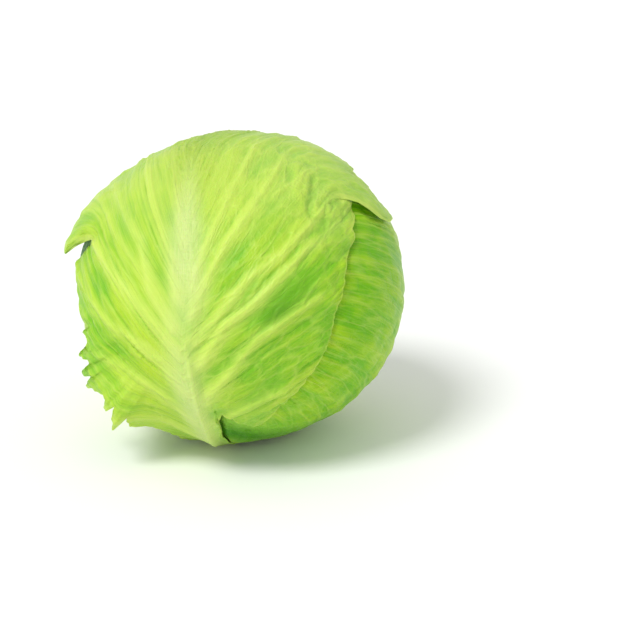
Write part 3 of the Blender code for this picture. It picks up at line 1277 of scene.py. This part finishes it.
@dataclass(frozen=True)
class LeafFinish:
    """The waxy skin of a leaf: a green blade with a paler net of veins.

    A stretch says how fine a pattern is across and along the fibres.
    """

    name: str
    deep: tuple = colour(110, 184, 0)
    light: tuple = colour(174, 212, 30)
    # The pale colour of the base, also used for the front leaf's painted sheen.
    pale_and_sheen: tuple = colour(196, 220, 112)
    vein: tuple = colour(204, 228, 104)
    rib: tuple = colour(210, 228, 144)
    # Painted shade: the dark green that the skin turns to where the tone mark is strongly negative,
    # in the gaps under folds and lobes.
    painted_shade: tuple = colour(66, 138, 0)
    painted_shade_start: float = 0.9
    patch_scale: float = 30.0
    speckle_scale: float = 1100.0
    crinkle_scale: float = 230.0
    streak_stretch: tuple = (0.55, 0.04, 1.0)
    thread_stretch: tuple = (2.4, 0.11, 1.0)
    coarse_net: tuple = (0.22, 0.06, 1.0)
    fine_net: tuple = (0.6, 0.19, 1.0)
    wrinkle_stretch: tuple = (0.12, 1.1, 1.0)
    net_thinness: tuple = (8.0, 6.0)
    net_strength: float = 0.42
    rim_strength: float = 0.45
    lightness: float = 0.42
    patchiness: float = 1.3
    streakiness: float = 1.3
    thread_contrast: float = 0.8
    ridge_contrast: float = 0.9
    speckling: float = 0.2
    tone_and_light_strength: float = 0.7
    bump_strength: float = 0.8
    bump_height: float = 0.0008
    roughness: float = 0.38
    gloss: float = 0.18
    glow: float = 0.2
    glow_colour: tuple = (0.6, 1.0, 0.25)
    glow_depth: float = 0.001

    def make(self) -> bpy.types.Material:
        """Build the material."""
        graph = Graph(self.name)
        clamp, mix = graph.clamp, graph.mix
        place = graph.layout("place", (1.0, 1.0, 1.0))
        names = ("vein", "midrib", "ridge", "pale", "tone_and_painted_light", "inside")
        vein, rib, ridge, pale, tone_and_painted_light, inside = (graph.mark(name) for name in names)

        patches = graph.noise(place, self.patch_scale, 3.0)
        streaks = self._fibres(graph, self.streak_stretch, 4.0)
        threads = self._fibres(graph, self.thread_stretch, 3.0)
        speckle = graph.noise(place, self.speckle_scale, 2.0)
        coarse = self._net(graph, self.coarse_net, self.net_thinness[0])
        fine = self._net(graph, self.fine_net, self.net_thinness[1])
        net = clamp(coarse * (0.3 + patches * 0.8) + fine * 0.35)
        wrinkle = graph.noise(graph.layout("rib_fan", self.wrinkle_stretch), 1.0, 2.0)
        crinkle = graph.noise(place, self.crinkle_scale, 3.0, 0.6)

        # Ridge tops are painted lighter and the valleys between them darker, painted shade in the
        # hollows of the relief; the tone mark adds patches of painted light and shade.
        light = clamp(
            self.lightness + patches.swing(self.patchiness) + streaks.swing(self.streakiness)
            + threads.swing(self.thread_contrast) + ridge.swing(self.ridge_contrast)
            + speckle.swing(self.speckling) + tone_and_painted_light * self.tone_and_light_strength)
        blade = mix(light, self.deep, self.light)
        # Paler towards the base, and on the front leaf towards the top as a painted sheen.
        washed = mix(clamp(pale + streaks.swing(pale)), blade, self.pale_and_sheen)
        netting = net * clamp(1.0 + tone_and_painted_light * self.tone_and_light_strength) * self.net_strength
        # Veins are painted duller down in the valleys, painted shade.
        veining = clamp(vein * (0.5 + ridge * 0.5 + threads.swing(1.2)))
        veined = mix(veining, mix(netting, washed, self.vein), self.vein)
        ribbed = mix(clamp(rib * (0.9 + threads.swing(1.3))), veined, self.rib)
        rim = clamp(1.0 - inside * 0.9) * self.rim_strength
        # Painted shade, where the tone mark is strongly negative.
        painted_shade = clamp(tone_and_painted_light * -1.0 - self.painted_shade_start)
        skin = mix(painted_shade, mix(rim, ribbed, self.vein), self.painted_shade)

        height = (threads * 0.5 + streaks * 0.3 + speckle * 0.12 + net * 0.35 + wrinkle * rib * 0.6
                  + crinkle * graph.mark("rumpled") * 0.9)
        return graph.finish(
            skin, clamp(self.roughness + speckle.swing(0.12) - ridge * 0.05),
            Normal=graph.bump(self.bump_strength, self.bump_height, height),
            Specular_IOR_Level=self.gloss, Subsurface_Weight=self.glow,
            Subsurface_Radius=self.glow_colour, Subsurface_Scale=self.glow_depth)

    def _net(self, graph: Graph, stretch: Triple, thinness: float) -> Wire:
        """Add a net of small veins that runs along the leaf's fibres.

        Args:
            graph: the material's nodes.
            stretch: how fine the net is across and along the fibres.
            thinness: how thin its threads are beside its meshes.

        Returns:
            Values from 0 in the meshes to 1 on the threads.
        """
        where = graph.layout("fan", stretch)
        drift = graph.wire("ShaderNodeTexNoise", "Color", {}, {"Vector": where, "Scale": 1.3})
        bent = graph.vector("ADD", where, graph.vector("MULTIPLY", drift, (0.7, 0.7, 0.0)))
        settings = {"feature": "DISTANCE_TO_EDGE", "voronoi_dimensions": "2D"}
        sockets = {"Vector": bent, "Scale": 1.0}
        gap = graph.wire("ShaderNodeTexVoronoi", "Distance", settings, sockets)
        return graph.clamp(1.0 - gap * thinness)

    def _fibres(self, graph: Graph, stretch: Triple, detail: float) -> Wire:
        """Add streaks along the leaf's fibres, and straight along its midrib.

        Args:
            graph: the material's nodes.
            stretch: how fine the streaks are across and along the fibres.
            detail: how many finer layers they have.

        Returns:
            Values round 0.5.
        """
        spread = graph.noise(graph.layout("fan", stretch), 1.0, detail, 0.6)
        rib_stretch = (1.4 * stretch[0], stretch[1], 1.0)
        rib = graph.noise(graph.layout("rib_fan", rib_stretch), 1.0, detail, 0.6)
        return spread + (rib - spread) * graph.clamp(graph.mark("midrib") * 1.3)


@dataclass(frozen=True)
class StemFinish:
    """The stem's cream flesh, with a tan dry skin on its cut face."""

    name: str = "stem_flesh"
    cream: tuple = colour(226, 226, 182)
    tan: tuple = colour(186, 152, 104)
    grain_scale: float = 420.0
    ring_start: float = 0.0125
    roughness: float = 0.5

    def make(self) -> bpy.types.Material:
        """Build the material."""
        graph = Graph(self.name)
        place = graph.position()
        height = graph.wire("ShaderNodeSeparateXYZ", "Z", {}, {0: place})
        across = graph.wire("ShaderNodeVectorMath", "Value", {"operation": "LENGTH"}, {0: place})
        grain = graph.noise(place, self.grain_scale, 4.0)
        low = graph.clamp(1.0 - height * 600.0)
        ring = graph.clamp((across - self.ring_start) * 260.0)
        dry = graph.clamp(low * (0.25 + ring * 0.6) + grain.swing(0.4) * low)
        return graph.finish(
            graph.mix(dry, self.cream, self.tan),
            graph.clamp(self.roughness + grain.swing(0.3)),
            Normal=graph.bump(0.4, 0.0006, grain), Subsurface_Weight=0.25,
            Subsurface_Radius=(1.0, 0.9, 0.5), Subsurface_Scale=0.004)


@dataclass(frozen=True)
class BudFinish:
    """The yellow skin of the heart's bud."""

    name: str = "heart_yellow"
    deep: tuple = colour(206, 204, 92)
    light: tuple = colour(238, 236, 150)
    patch_scale: float = 300.0
    roughness: float = 0.42

    def make(self) -> bpy.types.Material:
        """Build the material."""
        graph = Graph(self.name)
        patches = graph.noise(graph.position(), self.patch_scale, 3.0)
        return graph.finish(
            graph.mix(graph.clamp(patches * 2.0 - 0.5), self.deep, self.light),
            graph.clamp(self.roughness + patches.swing(0.2)),
            Normal=graph.bump(0.4, 0.0005, patches), Subsurface_Weight=0.3,
            Subsurface_Radius=(1.0, 0.9, 0.3), Subsurface_Scale=0.003)


class LeafPlace(Enum):
    """Where a leaf sits, which sets its node names, slot and finish."""

    WRAPPER = ("wrapper_leaf", "outer_leaf")
    HEAD = ("head_leaf", "inner_leaf")
    HEART = ("heart_leaf", "heart_leaf")

    @property
    def slot(self) -> str:
        """Name the record's material slot."""
        return self.value[1]

    def named(self, index: int) -> dict[str, str]:
        """Name the node and the slot of the leaf with this index."""
        return {"node": f"{self.value[0]}_{index + 1}", "slot": self.slot}


@dataclass(frozen=True)
class LeafLayers:
    """Plans every leaf from the outermost in, each turned by the same angle from the last.

    A run of hidden leaves is given as its count, its first depth and its spacing in metres, and
    how fine its grid is.
    """

    first_turn: float = -14.0
    turn_step: float = 137.5
    wrapper_cells: tuple[int, ...] = (216, 190, 190, 120, 76, 64, 64)
    wrapper_spacing: float = 0.003
    head_run: HiddenRun = (8, 0.022, 0.004, 48)
    heart_run: HiddenRun = (3, 0.0535, 0.0038, 36)

    def _wrappers(self) -> list[LeafPlan]:
        """Plan the green leaves that close the head."""
        habit = VeinHabit()
        own = (
            dict(
                tilt=8.0, outline=FRONT_OUTLINE, lift=FRONT_LIFT, clefts=FRONT_CLEFTS,
                tones_and_painted_light=FRONT_TONES_AND_PAINTED_LIGHT, crumples=FRONT_CRUMPLES, crumpling=0.1, paleness_and_sheen=FRONT_PALENESS_AND_SHEEN,
                veins=habit.with_twigs(FRONT_VEINS, 5), midrib=FRONT_MIDRIB, teeth=0.3,
                ruffle=0.0009),
            dict(outline=SIDE_OUTLINE, lift=SIDE_LIFT, tones_and_painted_light=SIDE_PAINTED_SHADE),
            dict(tones_and_painted_light=LEFT_PAINTED_SHADE),
        )
        plans: list[LeafPlan] = []
        for index, cells in enumerate(self.wrapper_cells):
            usual = dict(tilt=-2.0, outline=BROAD_OUTLINE, crumpling=0.5)
            if index > 0:
                usual["veins"] = habit.feathered(40 + index)
            plans.append(LeafPlan(
                **LeafPlace.WRAPPER.named(index),
                turn=self.first_turn + index * self.turn_step,
                depth=index * self.wrapper_spacing,
                cells=cells,
                seed=index,
                covered_by=tuple(plans),
                **usual | (own[index] if index < len(own) else {}),
            ))
        return plans

    def _inner(self, place: LeafPlace, run: HiddenRun, before: int) -> list[LeafPlan]:
        """Plan a run of hidden leaves.

        Args:
            place: which leaves they are.
            run: their count, first depth, spacing and grid.
            before: how many leaves come before the first.

        Returns:
            Their plans.
        """
        count, start, spacing, cells = run
        return [
            LeafPlan(
                **place.named(index),
                turn=self.first_turn + (before + index) * self.turn_step,
                tilt=-1.0,
                depth=start + index * spacing,
                cells=cells,
                outline=BROAD_OUTLINE,
                paleness_and_sheen=INNER_BLEACH,
                veins=VeinHabit().feathered(60 + before + index),
                midrib=Midrib(height=0.0012),
                seed=before + index,
                relief=0.5,
                ruffle=0.001,
                blade=0.0009,
            )
            for index in range(count)
        ]

    def plans(self) -> list[LeafPlan]:
        """List every leaf's plan."""
        plans = self._wrappers()
        plans += self._inner(LeafPlace.HEAD, self.head_run, len(plans))
        return plans + self._inner(LeafPlace.HEART, self.heart_run, len(plans))


@dataclass(frozen=True)
class Stem:
    """The cut stem, turned from its outline and given a slightly uneven side."""

    sides: int = 72
    pith: float = 0.0075
    butt_height: float = 0.002
    lobes: float = 5.0
    unevenness: float = 0.02
    sharp: float = math.radians(50.0)

    def build(self) -> bpy.types.Object:
        """Make the stem's object."""
        rings = ((0.0, 0.0), (self.pith, 0.0), *STEM.profile, (0.0, STEM.top))
        top = len(rings) - 1

        def place(spot: Vector, angle: float) -> Triple:
            """Move a point of the ball onto its ring."""
            radius, height = rings[round(math.acos(max(-1.0, min(1.0, -spot.z))) / math.pi * top)]
            if height > self.butt_height:
                radius *= 1.0 - self.unevenness * (1.0 + math.sin(self.lobes * angle))
            return radius * math.cos(angle), radius * math.sin(angle), height

        piece = reshaped_ball("stem_core", self.sides, top, place)
        piece.data.set_sharp_from_angle(angle=self.sharp)
        return piece


@dataclass(frozen=True)
class HeartBud:
    """The knot of smallest leaves on the tip of the stem."""

    radius: float = 0.0088
    height: float = 0.0178
    low: float = 0.0647
    folds: int = 5
    fold_depth: float = 0.16
    twist: float = 2.2
    sides: int = 72
    rings: int = 48

    def build(self) -> bpy.types.Object:
        """Make the bud's object, a ball with spiral folds."""
        half = 0.5 * self.height

        def place(spot: Vector, angle: float) -> Triple:
            """Press the folds into a point of the ball."""
            ridge = abs(math.sin(0.5 * self.folds * angle + self.twist * spot.z))
            size = 1.0 - self.fold_depth * (1.0 - ridge) ** 2 * (1.0 - spot.z * spot.z)
            radius = self.radius * size
            return spot.x * radius, spot.y * radius, spot.z * half + (self.low + half)

        return reshaped_ball("heart_bud_folds", self.sides, self.rings, place)


@dataclass(frozen=True)
class Studio:
    """The floor, the light and the camera."""

    floor_size: float = 12.0
    floor_colour: tuple = (0.95, 0.955, 0.945, 1.0)
    floor_grain: float = 6.0
    elevation: float = 20.0
    distance: float = 0.9
    pixel: float = 0.00049
    frame_pixels: float = 640.0
    sensor: float = 36.0
    head_column: float = 240.0
    head_row: float = 287.0
    sky_strength: float = 0.68
    sun_strength: float = 1.9
    sun_spread: float = 22.0
    sun_from: Triple = (-0.42, -0.40, 0.82)

    def _floor(self) -> None:
        """Lay the plain pale floor."""
        shape = bmesh.new()
        bmesh.ops.create_grid(shape, x_segments=1, y_segments=1, size=0.5 * self.floor_size)
        mesh = turned_into_mesh(shape, "floor")
        graph = Graph("pale_floor")
        grain = graph.noise(graph.position(), self.floor_grain, 2.0)
        rough = graph.clamp(0.7 + grain * 0.1)
        mesh.materials.append(graph.finish(self.floor_colour, rough, Specular_IOR_Level=0.2))
        add_object("floor", mesh)

    def _sun(self) -> None:
        """Hang one broad soft light, above the head's left."""
        lamp = bpy.data.lights.new("key_light", "SUN")
        lamp.energy = self.sun_strength
        lamp.angle = math.radians(self.sun_spread)
        holder = add_object("key_light", lamp)
        holder.rotation_euler = (-Vector(self.sun_from)).to_track_quat("-Z", "Y").to_euler()

    def _sky(self) -> None:
        """Fill the room with even white light."""
        world = bpy.data.worlds.new("studio_white")
        world.use_nodes = True
        background = world.node_tree.nodes["Background"]
        background.inputs["Color"].default_value = (1.0, 1.0, 1.0, 1.0)
        background.inputs["Strength"].default_value = self.sky_strength
        bpy.context.scene.world = world

    def _camera(self) -> None:
        """Aim the camera as the photograph was taken."""
        angle = math.radians(self.elevation)
        ahead = Vector((0.0, math.cos(angle), -math.sin(angle)))
        up = Vector((0.0, math.sin(angle), math.cos(angle)))
        right = Vector((1.0, 0.0, 0.0))
        middle = 0.5 * self.frame_pixels
        target = Vector(HEAD.centre)
        target += right * (middle - self.head_column) * self.pixel
        target -= up * (middle - self.head_row) * self.pixel
        lens = bpy.data.cameras.new("photo_view")
        lens.sensor_width = self.sensor
        lens.lens = self.sensor * self.distance / (self.frame_pixels * self.pixel)
        holder = add_object("photo_view", lens)
        holder.location = target - ahead * self.distance
        holder.rotation_euler = ahead.to_track_quat("-Z", "Y").to_euler()
        bpy.context.scene.camera = holder

    def build(self) -> None:
        """Set up the whole studio."""
        self._floor()
        self._sky()
        self._sun()
        self._camera()
        bpy.context.scene.view_settings.view_transform = "Standard"


def show(piece: bpy.types.Object, node: str, slot: str, finish: bpy.types.Material) -> None:
    """Dress a piece and let it stand for its CAD node.

    Args:
        piece: the new piece.
        node: the node that it replaces.
        slot: the record's material slot; not used.
        finish: its material.
    """
    piece.data.materials.append(finish)
    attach(piece, BODY)
    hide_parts(node)
    LOG.info("%s stands for %s, with %d faces", piece.name, node, len(piece.data.polygons))


def main() -> None:
    """Build the head, then the studio round it."""
    logging.basicConfig(level=logging.INFO, format="%(message)s")
    finishes = {
        LeafPlace.WRAPPER.slot: LeafFinish("green_leaf").make(),
        LeafPlace.HEAD.slot: LeafFinish(
            "pale_leaf", deep=colour(196, 214, 96), light=colour(224, 232, 150),
            vein=colour(236, 242, 190), rib=colour(240, 244, 206)).make(),
        LeafPlace.HEART.slot: LeafFinish(
            "heart_leaf", deep=colour(214, 212, 92), light=colour(238, 236, 148),
            vein=colour(244, 244, 190), rib=colour(246, 246, 206)).make(),
    }
    for plan in LeafLayers().plans():
        show(Leaf(plan).build(), plan.node, plan.slot, finishes[plan.slot])
    show(HeartBud().build(), "heart_bud", "heart_leaf", BudFinish().make())
    show(Stem().build(), "stem", "stem", StemFinish().make())
    Studio().build()


if __name__ == "__main__":
    main()
